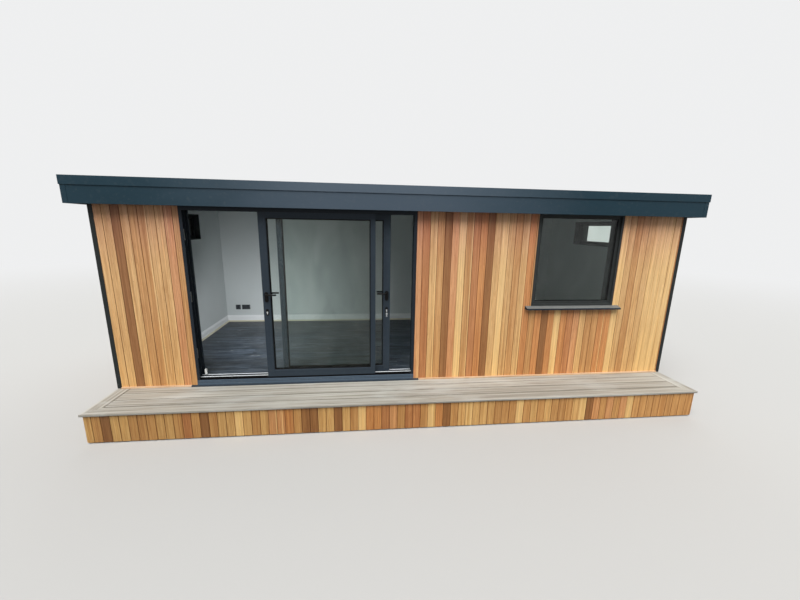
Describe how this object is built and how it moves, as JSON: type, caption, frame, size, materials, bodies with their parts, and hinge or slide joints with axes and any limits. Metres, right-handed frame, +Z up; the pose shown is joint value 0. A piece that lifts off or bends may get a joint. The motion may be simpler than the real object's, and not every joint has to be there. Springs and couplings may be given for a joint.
{
  "type": "garden office pod",
  "caption": "Flat-roofed cedar-clad garden office pod with a sliding patio door, a front window, high end windows and a boarded deck along the front.",
  "frame": {"origin": "on the lowest ground, below the middle of the whole object's box", "axes": "+X along the front to the right, +Y from the deck to the back wall, +Z up"},
  "size_m": [6.986, 3.518, 2.613],
  "materials": {
    "cedar": "oiled cedar boards in mixed honey, tan and brown",
    "softwood": "rough sawn treated softwood",
    "wall_white": "matt white painted boards",
    "trim_white": "satin white painted moulding",
    "bead": "clear varnished pale wood",
    "floor_dark": "dark grey wood-grain laminate",
    "composite_deck": "brushed grey-brown composite boards",
    "anthracite": "satin anthracite grey powder coat",
    "fascia_slate": "satin slate grey coated sheet",
    "roof_rubber": "matt black rubber sheet",
    "silver": "mill finish rail",
    "black_metal": "satin black handle",
    "glass": "clear double glazing",
    "socket_dark": "dark grey moulded plate"
  },
  "bodies": {
    "pod": {"bearers": "softwood", "floor_panel": "softwood", "floor_boards": "floor_dark", "front_wall_left": "wall_white", "front_wall_right": "wall_white", "front_lintel": "wall_white", "back_wall": "wall_white", "left_end_wall": "wall_white", "right_end_wall": "wall_white", "ceiling": "wall_white", "cladding_front_left": "cedar", "cladding_front_right": "cedar", "cladding_ends": "cedar", "cladding_back": "cedar", "corner_trims": "anthracite", "foot_battens": "cedar", "roof_panel": "softwood", "roof_membrane": "roof_rubber", "fascia_boards": "fascia_slate", "roof_edge_trim": "fascia_slate", "fascia_corners": "fascia_slate", "soffit": "anthracite", "deck_frame": "softwood", "deck_posts": "softwood", "deck_boards": "composite_deck", "deck_border": "composite_deck", "deck_skirt": "cedar", "door_jambs": "anthracite", "door_head": "anthracite", "door_threshold": "anthracite", "door_rails": "silver", "door_cill": "anthracite", "door_reveal_trims": "anthracite", "front_window_frame": "anthracite", "front_window_glass": "glass", "window_sills": "anthracite", "end_window_frames": "anthracite", "end_window_glass": "glass", "skirting": "trim_white", "floor_bead": "bead", "wall_sockets": "socket_dark"},
    "left_leaf": {"left_leaf_frame": "anthracite", "left_leaf_glass": "glass", "left_leaf_handles": "black_metal", "left_leaf_rollers": "silver"},
    "right_leaf": {"right_leaf_frame": "anthracite", "right_leaf_glass": "glass", "right_leaf_handles": "black_metal", "right_leaf_rollers": "silver"}
  },
  "joints": [
    {"name": "left_leaf_slide", "type": "slide", "parent": "pod", "child": "left_leaf", "axis": [1, 0, 0], "range_m": [-0.765, 0]},
    {"name": "right_leaf_slide", "type": "slide", "parent": "pod", "child": "right_leaf", "axis": [-1, 0, 0], "range_m": [-0.269, 0]}
  ]
}
